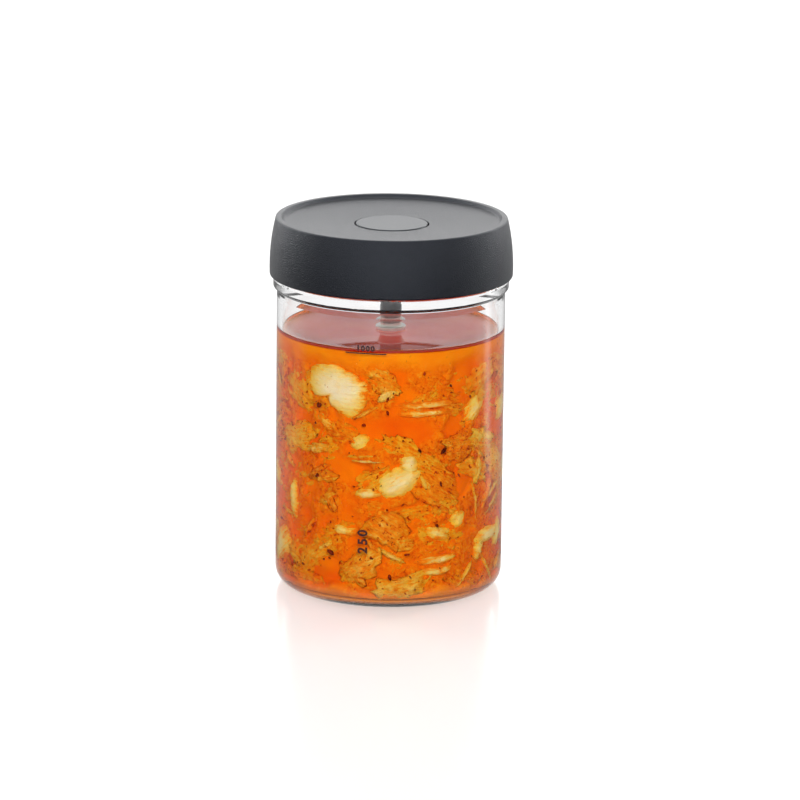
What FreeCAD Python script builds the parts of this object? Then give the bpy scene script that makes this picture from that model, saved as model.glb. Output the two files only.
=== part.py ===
"""Fermentation jar: a straight glass jar filled with kimchi, shut by a dark plastic lid with a push button.

Lengths are in millimetres. The origin is the middle of the jar's foot, +Z is up and -Y is the front.
Every piece is turned about Z, so each one is a section in the XZ plane that is revolved once and then
rounded. The sections and the roundings read their sizes from one sheet.
"""

import FreeCAD, Part
import math
import os

import Sketcher

SIZES = {
    # The jar's glass
    "body_radius": 54.0,  # outside of the straight wall
    "seat_height": 150.1,  # foot to the ledge that the lid stands on
    "glass_wall": 2.65,
    "glass_floor": 4.0,
    "foot_round": 8.4,  # outside, where the wall turns into the foot
    "cavity_round": 7.0,  # inside, where the wall turns into the floor
    "bead_proud": 1.7,  # how far the bead under the lid stands out from the wall
    "bead_height": 5.2,  # full-width part of the bead
    "bead_flare": 1.3,  # rise from the waist to the full-width part
    "waist_inset": 0.3,  # the shallow waist under the bead
    "waist_rise": 3.0,  # from the end of the straight wall to the waist
    "neck_inset": 1.1,  # the neck inside the lid is this much slimmer than the wall
    "rim_gap": 0.6,  # left between the rim and the lid's plate
    "neck_wall": 2.6,
    "shoulder_drop": 6.1,  # inside, where the straight wall starts to close to the neck
    "shoulder_rise": 4.0,
    "bead_edge_round": 0.8,
    "bead_round": 0.9,
    "waist_round": 0.7,
    "shoulder_round": 5.0,
    "rim_round": 1.1,
    # What it holds
    "head_space": 25.8,  # the lid's seat down to the surface, which is the one litre line
    "fill_gap": 0.2,  # between the contents and the wall
    # The lid
    "lid_height": 27.7,
    "lid_proud": 3.4,  # lower edge, beyond the jar's wall
    "lid_side_radius": 97.0,  # the bulge of the side, seen in section
    "lid_top_proud": 0.6,
    "lid_top_round": 0.8,
    "lid_foot_round": 0.9,
    "lid_gap": 0.4,  # between the skirt and the neck
    "lip_width": 2.6,
    "lip_round": 0.5,
    "recess_depth": 3.3,  # at the button
    "recess_slope": 1.4,
    "plate_dish": 1.7,  # how far the plate rises from the button to the lip
    "recess_round": 1.5,
    "plate_thick": 2.4,
    # The button in the lid and the well that it runs in
    "button_radius": 17.0,
    "button_gap": 0.65,
    "button_proud": 0.3,
    "button_height": 4.6,
    "button_round": 0.5,
    "hole_round": 0.25,
    "flange_width": 1.7,  # keeps the button under the plate
    "flange_gap": 0.3,  # above and around the flange
    "button_travel": 2.0,
    "button_rest": 0.4,  # left under the button when it is pressed
    "well_wall": 1.8,
    "well_base": 2.0,
    # The post under the lid and the steel knob on it
    "post_radius": 5.0,
    "post_round": 1.5,
    "knob_radius": 6.9,
    "knob_height": 7.3,  # surface of the contents to the top of the knob
    "knob_waist_radius": 4.9,
    "knob_waist_height": 3.0,  # surface to the foot of the knob's bowl
    "knob_foot_radius": 7.1,
    "knob_foot_height": 1.5,  # surface to the top of the foot disc
    "knob_dip": 1.0,  # how deep the foot disc stands in the contents
    "knob_top_round": 0.9,
    "knob_foot_round": 0.4,
    "dip_gap": 0.3,  # between the foot disc and the contents
}

# Heights that more than one piece needs, each as an expression of the sizes
SURFACE = "seat_height - head_space"
LID_TOP = "seat_height + lid_height"
PLATE_TOP = f"{LID_TOP} - recess_depth"
PLATE_UNDER = f"{PLATE_TOP} - plate_thick"
BUTTON_TOP = f"{PLATE_TOP} + button_proud"
BUTTON_BOTTOM = f"{BUTTON_TOP} - button_height"
POST_END = f"{SURFACE} + knob_height"

document = FreeCAD.newDocument("fermentation_jar")


def make_sheet():
    """The driving dimensions, one row each: name, value."""
    sheet = document.addObject("Spreadsheet::Sheet", "Sizes")
    for row, (name, value) in enumerate(SIZES.items(), start=1):
        sheet.set(f"A{row}", name)
        sheet.set(f"B{row}", str(value))
        sheet.setAlias(f"B{row}", name)
    document.recompute()
    return sheet


sheet = make_sheet()


def sized(expression):
    """The expression with the sheet's name before each alias."""
    words = expression.split()
    return " ".join(f"Sizes.{word}" if word in SIZES else word for word in words)


def number(expression):
    """What an expression of aliases comes to, in millimetres."""
    return float(sheet.evalExpression(sized(expression)))


def origin_plane(body, role):
    return next(item for item in body.Origin.OriginFeatures if item.Role == role)


def turned(label, corners, rounds, bulges={}):
    """A body revolved about Z, then rounded.

    corners: name -> (radius, height), each an expression of aliases, anticlockwise round the section.
    rounds: (rounding radius, [corner names]), each one fillet feature.
    bulges: corner name -> radius of the outward arc from that corner to the next, in place of a line.
    """
    body = document.addObject("PartDesign::Body", label)
    body.Label = label
    sketch = body.newObject("Sketcher::SketchObject", f"{label}_section")
    sketch.AttachmentSupport = [(origin_plane(body, "XZ_Plane"), "")]
    sketch.MapMode = "FlatFace"

    places = list(corners.values())
    points = [FreeCAD.Vector(number(across), number(up), 0) for across, up in places]
    count = len(points)
    for index, name in enumerate(corners):
        ends = points[index], points[(index + 1) % count]
        if name in bulges:
            sketch.addGeometry(outward_arc(*ends, number(bulges[name])))
        else:
            sketch.addGeometry(Part.LineSegment(*ends))
    for index in range(count):
        sketch.addConstraint(joined_ends(index, (index + 1) % count))
    for index, (name, (across, up)) in enumerate(corners.items()):
        bind(sketch, "DistanceX", index, f"{name}_across", across)
        bind(sketch, "DistanceY", index, f"{name}_up", up)

    for name, size in bulges.items():
        bind_radius(sketch, list(corners).index(name), f"{name}_bulge", size)

    turn = body.newObject("PartDesign::Revolution", f"{label}_turn")
    turn.Profile = sketch
    turn.ReferenceAxis = (sketch, ["V_Axis"])
    turn.Angle = 360.0
    document.recompute()
    for index, (size, names) in enumerate(rounds, start=1):
        round_off(body, f"{label}_round_{index}", size, [corners[name] for name in names])
    return body


def joined_ends(this, following):
    """The end of one side of the section is the start of the next."""
    return Sketcher.Constraint("Coincident", this, 2, following, 1)


def bind(sketch, kind, side, name, expression):
    """Ties the start of a side to the sketch's origin: along an axis where the expression is 0."""
    if expression == "0":
        axis = -2 if kind == "DistanceX" else -1
        sketch.addConstraint(Sketcher.Constraint("PointOnObject", side, 1, axis))
        return
    index = sketch.addConstraint(Sketcher.Constraint(kind, -1, 1, side, 1, number(expression)))
    sketch.renameConstraint(index, name)
    sketch.setExpression(f"Constraints.{name}", sized(expression))


def outward_arc(start, end, radius):
    """An arc that turns anticlockwise from start to end."""
    chord = end - start
    rise = math.sqrt(radius**2 - (chord.Length / 2) ** 2)
    inward = FreeCAD.Vector(-chord.y, chord.x, 0).normalize()
    centre = (start + end) / 2 + inward * rise
    circle = Part.Circle(centre, FreeCAD.Vector(0, 0, 1), radius)
    return Part.ArcOfCircle(circle, circle.parameter(start), circle.parameter(end))


def bind_radius(sketch, side, name, expression):
    index = sketch.addConstraint(Sketcher.Constraint("Radius", side, number(expression)))
    sketch.renameConstraint(index, name)
    sketch.setExpression(f"Constraints.{name}", sized(expression))


def round_off(body, name, size, places):
    """A fillet on the circular edges that stand at these places of the section."""
    base = body.Tip
    wanted = [(number(across), number(up)) for across, up in places]
    edges = [
        f"Edge{index}"
        for index, edge in enumerate(base.Shape.Edges, start=1)
        if isinstance(edge.Curve, Part.Circle)
        and any(
            abs(edge.Curve.Radius - across) < 1e-4 and abs(edge.Curve.Center.z - up) < 1e-4
            for across, up in wanted
        )
    ]
    if len(edges) != len(wanted):
        raise RuntimeError(f"{name}: {len(edges)} edges found for {len(wanted)} places")
    fillet = body.newObject("PartDesign::Fillet", name)
    fillet.Base = (base, edges)
    fillet.setExpression("Radius", sized(size))
    document.recompute()


def make_glass():
    """Straight wall, shallow waist, bead with a ledge for the lid, and a slimmer neck inside the lid."""
    bead = "body_radius + bead_proud"
    neck = "body_radius - neck_inset"
    bore = "body_radius - neck_inset - neck_wall"
    cavity = "body_radius - glass_wall"
    rim = f"{PLATE_UNDER} - rim_gap"
    corners = {
        "foot_middle": ("0", "0"),
        "foot": ("body_radius", "0"),
        "wall_end": ("body_radius", "seat_height - bead_height - bead_flare - waist_rise"),
        "waist": ("body_radius - waist_inset", "seat_height - bead_height - bead_flare"),
        "bead_low": (bead, "seat_height - bead_height"),
        "bead_top": (bead, "seat_height"),
        "neck_root": (neck, "seat_height"),
        "rim_outer": (neck, rim),
        "rim_inner": (bore, rim),
        "shoulder_top": (bore, "seat_height - shoulder_drop + shoulder_rise"),
        "shoulder_low": (cavity, "seat_height - shoulder_drop"),
        "floor_edge": (cavity, "glass_floor"),
        "floor_middle": ("0", "glass_floor"),
    }
    rounds = [
        ("foot_round", ["foot"]),
        ("cavity_round", ["floor_edge"]),
        ("rim_round", ["rim_outer", "rim_inner"]),
        ("bead_round", ["bead_low"]),
        ("bead_edge_round", ["bead_top"]),
        ("waist_round", ["waist"]),
        ("shoulder_round", ["wall_end", "shoulder_top", "shoulder_low"]),
    ]
    return turned("jar_glass", corners, rounds)


def make_contents():
    """Kimchi in its brine, one solid up to the surface, with room for the foot of the knob."""
    side = "body_radius - glass_wall - fill_gap"
    dip_side = "knob_foot_radius + dip_gap"
    dip_floor = f"{SURFACE} - knob_dip - dip_gap"
    corners = {
        "floor_middle": ("0", "glass_floor"),
        "floor_edge": (side, "glass_floor"),
        "surface_edge": (side, SURFACE),
        "dip_edge": (dip_side, SURFACE),
        "dip_corner": (dip_side, dip_floor),
        "dip_middle": ("0", dip_floor),
    }
    return turned("contents", corners, [("cavity_round - fill_gap", ["floor_edge"])])


def make_lid():
    """Bulging skirt, raised lip round a dished plate, the button's well and the post that carries the knob."""
    lip_inner = "body_radius + lid_top_proud - lip_width"
    hole = "button_radius + button_gap"
    well = "button_radius + flange_width + flange_gap"
    well_floor = f"{BUTTON_BOTTOM} - button_travel - button_rest"
    cup_side = f"{well} + well_wall"
    cup_under = f"{well_floor} - well_base"
    skirt = "body_radius - neck_inset + lid_gap"
    corners = {
        "post_middle": ("0", POST_END),
        "post_edge": ("post_radius", POST_END),
        "post_root": ("post_radius", cup_under),
        "cup_corner": (cup_side, cup_under),
        "cup_root": (cup_side, PLATE_UNDER),
        "skirt_root": (skirt, PLATE_UNDER),
        "skirt_seat": (skirt, "seat_height"),
        "foot": ("body_radius + lid_proud", "seat_height"),
        "lip_outer": ("body_radius + lid_top_proud", LID_TOP),
        "lip_inner": (lip_inner, LID_TOP),
        "plate_edge": (f"{lip_inner} - recess_slope", f"{PLATE_TOP} + plate_dish"),
        "hole_top": (hole, PLATE_TOP),
        "hole_under": (hole, PLATE_UNDER),
        "well_top": (well, PLATE_UNDER),
        "well_corner": (well, well_floor),
        "well_middle": ("0", well_floor),
    }
    rounds = [
        ("lid_foot_round", ["foot"]),
        ("lid_top_round", ["lip_outer"]),
        ("lip_round", ["lip_inner"]),
        ("recess_round", ["plate_edge"]),
        ("hole_round", ["hole_top"]),
        ("post_round", ["post_root"]),
    ]
    return turned("lid", corners, rounds, bulges={"foot": "lid_side_radius"})


def make_button():
    """Round push button with a flange that keeps it under the lid's plate."""
    flange_top = f"{PLATE_UNDER} - flange_gap"
    corners = {
        "bottom_middle": ("0", BUTTON_BOTTOM),
        "bottom_edge": ("button_radius + flange_width", BUTTON_BOTTOM),
        "flange_top": ("button_radius + flange_width", flange_top),
        "side_root": ("button_radius", flange_top),
        "top_edge": ("button_radius", BUTTON_TOP),
        "top_middle": ("0", BUTTON_TOP),
    }
    return turned("lid_button", corners, [("button_round", ["top_edge"])])


def make_knob():
    """Turned steel knob: a bowl on a slim waist, with a foot disc that stands in the brine."""
    corners = {
        "foot_middle": ("0", f"{SURFACE} - knob_dip"),
        "foot_low": ("knob_foot_radius", f"{SURFACE} - knob_dip"),
        "foot_top": ("knob_foot_radius", f"{SURFACE} + knob_foot_height"),
        "waist_low": ("knob_waist_radius", f"{SURFACE} + knob_foot_height"),
        "waist_top": ("knob_waist_radius", f"{SURFACE} + knob_waist_height"),
        "bowl_edge": ("knob_radius", POST_END),
        "top_middle": ("0", POST_END),
    }
    rounds = [
        ("knob_top_round", ["bowl_edge"]),
        ("knob_foot_round", ["foot_top", "foot_low"]),
    ]
    return turned("steel_knob", corners, rounds)


def check(parts):
    """Stops before anything is written if an object has failed or a piece isn't one valid solid."""
    for item in document.Objects:
        if {"Invalid", "Error"} & set(item.State):
            raise RuntimeError(f"{item.Name}: {item.State}")
    for part in parts:
        shape = part.Shape
        if shape.isNull() or not shape.isValid() or len(shape.Solids) != 1:
            raise RuntimeError(f"{part.Label}: its shape isn't one valid solid")


def main():
    parts = [make_glass(), make_contents(), make_lid(), make_button(), make_knob()]
    document.recompute()
    check(parts)
    os.makedirs("parts", exist_ok=True)
    for part in parts:
        part.Placement = FreeCAD.Placement()
        part.Shape.exportStep(f"parts/{part.Label}.step")
        box = part.Shape.BoundBox
        print(f"{part.Label}: {part.Shape.Volume / 1000:.2f} cm3, z {box.ZMin:.2f} to {box.ZMax:.2f}")


main()
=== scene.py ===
"""Looks of a fermentation jar: clear glass, orange brine packed with kimchi, and a dark plastic lid.

The file is laid out as an add-on and is run as a script. Lengths are in metres unless a name ends in
_mm. The front of the jar is -Y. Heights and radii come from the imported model's own boxes.
"""

import math
import random

import bpy
from bpy.props import FloatProperty, FloatVectorProperty, IntProperty, PointerProperty
from mathutils import Matrix, Vector, noise


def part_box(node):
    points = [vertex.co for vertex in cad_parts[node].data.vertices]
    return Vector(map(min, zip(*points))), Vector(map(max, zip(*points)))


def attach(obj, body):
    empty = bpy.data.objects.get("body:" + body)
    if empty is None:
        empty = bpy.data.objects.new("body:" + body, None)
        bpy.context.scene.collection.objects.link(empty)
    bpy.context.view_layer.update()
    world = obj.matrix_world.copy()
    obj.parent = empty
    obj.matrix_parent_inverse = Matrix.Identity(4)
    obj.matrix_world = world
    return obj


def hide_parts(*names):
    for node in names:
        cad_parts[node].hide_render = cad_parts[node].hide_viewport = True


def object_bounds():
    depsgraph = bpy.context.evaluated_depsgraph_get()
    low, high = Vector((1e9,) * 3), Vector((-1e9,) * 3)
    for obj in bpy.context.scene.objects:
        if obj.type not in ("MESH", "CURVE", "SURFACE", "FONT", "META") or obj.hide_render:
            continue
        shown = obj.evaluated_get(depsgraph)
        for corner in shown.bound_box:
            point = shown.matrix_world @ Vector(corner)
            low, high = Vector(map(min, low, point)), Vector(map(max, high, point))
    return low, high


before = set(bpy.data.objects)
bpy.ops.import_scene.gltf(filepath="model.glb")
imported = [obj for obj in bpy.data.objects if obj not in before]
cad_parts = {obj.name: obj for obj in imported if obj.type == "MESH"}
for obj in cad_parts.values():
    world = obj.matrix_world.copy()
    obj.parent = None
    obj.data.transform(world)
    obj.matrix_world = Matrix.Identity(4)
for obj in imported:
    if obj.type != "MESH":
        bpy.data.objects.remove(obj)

bl_info = {
    "name": "Fermentation Jar Looks",
    "version": (1, 0, 0),
    "blender": (4, 5, 0),
    "location": "3D View > Sidebar > Jar",
    "description": "Gives the packed fermentation jar its glass, brine, kimchi and lid finishes",
    "category": "Object",
}

MM = 0.001
CAD_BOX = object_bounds()
FILL_LOW, FILL_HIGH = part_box("contents")
SURFACE = FILL_HIGH.z
FLOOR = FILL_LOW.z
FILL_CLEARANCE = 0.2 * MM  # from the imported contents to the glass
WALL = (FILL_HIGH.x - FILL_LOW.x) / 2 + FILL_CLEARANCE  # inside of the glass
BODY = 54 * MM  # outside of the straight glass wall
CORNER = 7 * MM  # where the inside of the glass turns from floor to wall
BRINE_IOR = 1.34
WHITE = "#ffffff"
BLACK = "#000000"


# ---------------------------------------------------------------- small helpers


def linear(hex_colour):
    """An sRGB hex colour as the linear red, green, blue and alpha that a shader takes."""
    levels = [int(hex_colour[i : i + 2], 16) / 255 for i in (1, 3, 5)]
    return tuple(v / 12.92 if v <= 0.04045 else ((v + 0.055) / 1.055) ** 2.4 for v in levels) + (1.0,)


def add(tree, kind, inputs=None, stops=(), **settings):
    """Adds a node with its settings. An input is a value, or the socket that feeds it.

    stops: for a colour ramp, each (place, hex colour).
    """
    item = tree.nodes.new(kind)
    for name, value in settings.items():
        setattr(item, name, value)
    for name, value in (inputs or {}).items():
        if isinstance(value, bpy.types.NodeSocket):
            tree.links.new(value, item.inputs[name])
        else:
            item.inputs[name].default_value = value
    while stops and len(item.color_ramp.elements) < len(stops):
        item.color_ramp.elements.new(0.5)
    for number, (place, colour) in enumerate(stops):
        item.color_ramp.elements[number].position = place
        item.color_ramp.elements[number].color = linear(colour)
    return item


def new_material(name):
    """An empty node material and its tree."""
    material = bpy.data.materials.new(name)
    material.use_nodes = True
    material.node_tree.nodes.clear()
    return material, material.node_tree


def mesh_piece(name, points, faces, material, smooth=True):
    """A mesh object in the scene with one material."""
    mesh = bpy.data.meshes.new(name)
    mesh.from_pydata(points, [], faces)
    mesh.update()
    if smooth:
        mesh.shade_smooth()
    mesh.materials.append(material)
    piece = bpy.data.objects.new(name, mesh)
    bpy.context.scene.collection.objects.link(piece)
    return piece


def turned_piece(name, outline, steps, material):
    """A closed solid turned about Z. outline: (radius, height) from the axis below to the axis above."""
    rings = outline[1:-1]
    points = [(0.0, 0.0, outline[0][1])]
    for radius, height in rings:
        for step in range(steps):
            angle = 2 * math.pi * step / steps
            points.append((radius * math.cos(angle), radius * math.sin(angle), height))
    points.append((0.0, 0.0, outline[-1][1]))
    top = len(points) - 1
    faces = []
    for step in range(steps):
        after = (step + 1) % steps
        faces.append((0, 1 + after, 1 + step))
        for ring in range(len(rings) - 1):
            low, high = 1 + ring * steps, 1 + (ring + 1) * steps
            faces.append((low + step, low + after, high + after, high + step))
        last = 1 + (len(rings) - 1) * steps
        faces.append((last + step, last + after, top))
    return mesh_piece(name, points, faces, material)


# ---------------------------------------------------------------- what a user would change


class JarBrineSettings(bpy.types.PropertyGroup):
    """The liquid."""

    wall_overlap: FloatProperty(
        name="Reach into glass",
        description="How far the liquid reaches into the glass wall, so that no air shows",
        default=0.35 * MM,
        unit="LENGTH",
    )
    meniscus: FloatProperty(
        name="Meniscus",
        description="How far the liquid climbs the wall",
        default=1.4 * MM,
        unit="LENGTH",
    )
    passed: FloatVectorProperty(
        name="Passed colour",
        description="What passes one absorption length of the brine",
        subtype="COLOR",
        size=4,
        min=0.0,
        max=1.0,
        default=linear("#feec00"),
    )
    density: FloatProperty(
        name="Density",
        description="Absorption for each metre in the colour absorbed most",
        default=320.0,
    )


class JarKimchiSettings(bpy.types.PropertyGroup):
    """The cabbage and what is in it."""

    seed: IntProperty(name="Seed", description="Which of the possible packings is made", default=7)
    top: FloatProperty(
        name="Room above",
        description="From the top of the packed cabbage to the surface of the brine",
        default=10.5 * MM,
        unit="LENGTH",
    )
    haze_depth: FloatProperty(
        name="Clear layer",
        description="How deep the eye sees into the cloudy brine at the wall",
        default=5.0 * MM,
        unit="LENGTH",
    )
    leaf_rows: IntProperty(name="Leaf rows", description="Rows of leaf from floor to top", default=9)
    leaves_in_row: IntProperty(name="Leaves in a row", description="Leaves round the jar", default=14)
    shreds: IntProperty(name="Shreds", description="Strips and scraps of leaf near the wall", default=205)
    flakes: IntProperty(name="Chilli flakes", description="Flakes strewn through the brine", default=170)


class JarLidSettings(bpy.types.PropertyGroup):
    """The moulded parts."""

    lid_colour: FloatVectorProperty(
        name="Lid colour",
        description="Colour of the lid's plastic",
        subtype="COLOR",
        size=4,
        min=0.0,
        max=1.0,
        default=linear("#101116"),
    )
    button_colour: FloatVectorProperty(
        name="Button colour",
        description="Colour of the button's plastic",
        subtype="COLOR",
        size=4,
        min=0.0,
        max=1.0,
        default=linear("#1d2021"),
    )
    grain: FloatProperty(
        name="Grain",
        description="Width of the moulded grain on the lid",
        default=0.5 * MM,
        unit="LENGTH",
    )


class JarStageSettings(bpy.types.PropertyGroup):
    """Camera and light."""

    distance: FloatProperty(
        name="Camera distance", description="Along the floor from the jar", default=2.337, unit="LENGTH"
    )
    camera_height: FloatProperty(
        name="Camera height", description="Above the floor", default=0.675, unit="LENGTH"
    )
    lens: FloatProperty(name="Lens", description="Focal length in millimetres", default=228.3)
    roll: FloatProperty(
        name="Roll",
        description="Turn of the camera about its view",
        default=math.radians(0.65),
        subtype="ANGLE",
    )
    world_light: FloatProperty(name="World light", description="Strength of the white room", default=0.38)
    floor_glow: FloatProperty(
        name="Floor glow", description="What the lit floor lacks of plain white to the eye", default=0.27
    )


# ---------------------------------------------------------------- materials


def lets_lamps_through(tree, shader, tint):
    """Clear pieces pass lamp light and soft light straight on, so what they hold is lit without noise."""
    path = add(tree, "ShaderNodeLightPath")
    soft = add(
        tree,
        "ShaderNodeMath",
        {0: path.outputs["Is Shadow Ray"], 1: path.outputs["Is Diffuse Ray"]},
        operation="MAXIMUM",
    )
    straight = add(tree, "ShaderNodeBsdfTransparent", {"Color": tint})
    mix = add(tree, "ShaderNodeMixShader", {0: soft.outputs[0], 1: shader, 2: straight.outputs[0]})
    return mix.outputs[0]


def radius_and_height(tree):
    """Distance from the jar's axis and height above the ground, as two sockets."""
    place = add(tree, "ShaderNodeTexCoord").outputs["Object"]
    flat = add(tree, "ShaderNodeVectorMath", {0: place, 1: (1.0, 1.0, 0.0)}, operation="MULTIPLY")
    radius = add(tree, "ShaderNodeVectorMath", {0: flat.outputs[0]}, operation="LENGTH")
    height = add(tree, "ShaderNodeSeparateXYZ", {0: place})
    return radius.outputs["Value"], height.outputs["Z"]


def dull_where(tree, wet):
    """The specular tint: none where brine wets the glass, because their refraction is nearly the same."""
    tint = add(
        tree,
        "ShaderNodeMix",
        {"Factor": wet, "A": linear(WHITE), "B": linear(BLACK)},
        data_type="RGBA",
    )
    return tint.outputs["Result"]


def borosilicate_glass():
    """Pressed and fire-polished borosilicate glass: clear, with no tint at this wall, and mirror smooth."""
    material, tree = new_material("borosilicate_glass_fire_polished")
    radius, height = radius_and_height(tree)
    within_wall = WALL + 1.0 * MM
    inner = add(tree, "ShaderNodeMath", {0: radius, 1: within_wall}, operation="LESS_THAN")
    below = add(tree, "ShaderNodeMath", {0: height, 1: SURFACE}, operation="LESS_THAN")
    wet = add(tree, "ShaderNodeMath", {0: inner.outputs[0], 1: below.outputs[0]}, operation="MULTIPLY")
    glass = add(
        tree,
        "ShaderNodeBsdfPrincipled",
        {
            "Base Color": linear(WHITE),
            "Roughness": 0.0,
            "IOR": 1.47,
            "Transmission Weight": 1.0,
            "Specular Tint": dull_where(tree, wet.outputs[0]),
        },
    )
    surface = lets_lamps_through(tree, glass.outputs[0], linear("#f6f6f6"))
    add(tree, "ShaderNodeOutputMaterial", {"Surface": surface})
    return material


def kimchi_brine(settings):
    """Salt brine stained by chilli: as thin as water, and orange by depth, yellow where it is thin."""
    material, tree = new_material("chilli_stained_brine")
    radius, _ = radius_and_height(tree)
    wall = add(tree, "ShaderNodeMath", {0: radius, 1: WALL - FILL_CLEARANCE / 2}, operation="GREATER_THAN")
    liquid = add(
        tree,
        "ShaderNodeBsdfPrincipled",
        {
            "Base Color": linear(WHITE),
            "Roughness": 0.0,
            "IOR": BRINE_IOR,
            "Transmission Weight": 1.0,
            "Specular Tint": dull_where(tree, wall.outputs[0]),
        },
    )
    volume = add(
        tree, "ShaderNodeVolumeAbsorption", {"Color": tuple(settings.passed), "Density": settings.density}
    )
    surface = lets_lamps_through(tree, liquid.outputs[0], linear(WHITE))
    add(tree, "ShaderNodeOutputMaterial", {"Surface": surface, "Volume": volume.outputs[0]})
    return material


def cloudy_brine():
    """Brine clouded by chilli powder and shreds: smooth orange in places, a fine mat of fibres elsewhere.

    The matted attribute runs from smooth (0) to fibres (1).
    """
    material, tree = new_material("brine_cloudy_with_chilli_powder")
    place = add(tree, "ShaderNodeTexCoord").outputs["Object"]
    drifts = add(
        tree, "ShaderNodeTexNoise", {"Vector": place, "Scale": 1 / (17 * MM), "Detail": 2.0, "Roughness": 0.5}
    )
    smooth = add(
        tree,
        "ShaderNodeValToRGB",
        {"Fac": drifts.outputs["Fac"]},
        stops=[(0.32, "#f87c08"), (0.5, "#fb8a0a"), (0.68, "#fd9a12")],
    )
    fibres = add(
        tree,
        "ShaderNodeTexNoise",
        {"Vector": place, "Scale": 1 / (2.6 * MM), "Detail": 5.0, "Roughness": 0.65, "Distortion": 1.2},
    )
    mat = add(
        tree,
        "ShaderNodeValToRGB",
        {"Fac": fibres.outputs["Fac"]},
        stops=[(0.3, "#b8480c"), (0.42, "#f47814"), (0.55, "#ff9c30"), (0.7, "#ffc468")],
    )
    matted = add(tree, "ShaderNodeAttribute", attribute_name="matted").outputs["Fac"]
    colour = add(
        tree,
        "ShaderNodeMix",
        {"Factor": matted, "A": smooth.outputs["Color"], "B": mat.outputs["Color"]},
        data_type="RGBA",
    )
    height = add(
        tree, "ShaderNodeMath", {0: fibres.outputs["Fac"], 1: matted}, operation="MULTIPLY"
    )
    bump = add(tree, "ShaderNodeBump", {"Height": height.outputs[0], "Strength": 1.0, "Distance": 1.2 * MM})
    cloud = add(
        tree,
        "ShaderNodeBsdfPrincipled",
        {
            "Base Color": colour.outputs["Result"],
            "Roughness": 1.0,
            "Specular IOR Level": 0.0,
            "Normal": bump.outputs[0],
        },
    )
    add(tree, "ShaderNodeOutputMaterial", {"Surface": cloud.outputs[0]})
    return material


def cabbage_finish(name, stops, vein, fleck, wrinkle):
    """Salted cabbage: wet and matt under brine. The stain attribute runs from bare (0) to soaked (1), and it
    holds painted shade in the deep folds.

    vein is the width of the ribs, which run along each piece, wrinkle that of its creases, and fleck the
    share of chilli powder on it.
    """
    material, tree = new_material(name)
    place = add(tree, "ShaderNodeTexCoord").outputs["Object"]
    along = add(tree, "ShaderNodeAttribute", attribute_name="grain").outputs["Vector"]
    stain = add(tree, "ShaderNodeAttribute", attribute_name="stain").outputs["Fac"]
    blotch = add(
        tree, "ShaderNodeTexNoise", {"Vector": place, "Scale": 1 / wrinkle, "Detail": 5.0, "Roughness": 0.65}
    )
    ribs = add(
        tree,
        "ShaderNodeTexNoise",
        {"Vector": along, "Scale": 1 / vein, "Detail": 4.0, "Roughness": 0.65, "Distortion": 0.8},
    )
    level = stain
    for pattern, reach in ((blotch, 0.28), (ribs, 0.4)):
        swing = add(
            tree,
            "ShaderNodeMapRange",
            {
                "Value": pattern.outputs["Fac"],
                "From Min": 0.3,
                "From Max": 0.7,
                "To Min": -reach,
                "To Max": reach,
            },
            clamp=False,
        )
        level = add(tree, "ShaderNodeMath", {0: level, 1: swing.outputs[0]}, operation="ADD").outputs[0]
    colour = add(tree, "ShaderNodeValToRGB", {"Fac": level}, stops=stops).outputs["Color"]
    chilli = add(tree, "ShaderNodeTexNoise", {"Vector": place, "Scale": 1 / (1.9 * MM), "Detail": 2.0})
    spots = add(
        tree,
        "ShaderNodeMapRange",
        {"Value": chilli.outputs["Fac"], "From Min": 0.72 - fleck, "From Max": 0.76 - fleck},
    )
    flecked = add(
        tree,
        "ShaderNodeMix",
        {"Factor": spots.outputs[0], "A": colour, "B": linear("#b8420c")},
        data_type="RGBA",
    )
    relief = add(
        tree, "ShaderNodeMath", {0: blotch.outputs["Fac"], 1: ribs.outputs["Fac"]}, operation="ADD"
    )
    bump = add(
        tree, "ShaderNodeBump", {"Height": relief.outputs[0], "Strength": 1.0, "Distance": 0.9 * MM}
    )
    leaf = add(
        tree,
        "ShaderNodeBsdfPrincipled",
        {
            "Base Color": flecked.outputs["Result"],
            "Roughness": 0.5,
            "Specular IOR Level": 0.1,
            "Subsurface Weight": 0.35,
            "Subsurface Radius": (1.0, 0.7, 0.4),
            "Subsurface Scale": 0.5 * MM,
            "Normal": bump.outputs[0],
        },
    )
    add(tree, "ShaderNodeOutputMaterial", {"Surface": leaf.outputs[0]})
    return material


def cabbage_leaf_material():
    """The thin blade of the leaf, pickled to gold and orange, with its deeper folds browned by painted shade.
    """
    stops = [(0.0, "#ffcc7c"), (0.3, "#ffac42"), (0.6, "#fc9024"), (0.85, "#e86c12"), (1.0, "#a84408")]
    return cabbage_finish("napa_cabbage_leaf_pickled", stops, 0.9 * MM, 0.08, 3.0 * MM)


def leaf_shred_material():
    """Shreds of leaf and rib, stained right through: amber, with light fibres along them."""
    stops = [(0.0, "#ffdca4"), (0.3, "#ffbc5c"), (0.6, "#fc942a"), (0.85, "#e46c12"), (1.0, "#a84208")]
    return cabbage_finish("napa_cabbage_shred_pickled", stops, 0.7 * MM, 0.05, 2.2 * MM)


def cabbage_stalk_material():
    """The thick white midrib: cream where it is pressed to the glass, yellow and orange round its edges."""
    stops = [(0.0, "#fff0f4"), (0.4, "#ffe8dc"), (0.65, "#ffd2a0"), (0.85, "#fdac54"), (1.0, "#f8902c")]
    return cabbage_finish("napa_cabbage_midrib_pickled", stops, 1.6 * MM, 0.0, 5.0 * MM)


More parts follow.
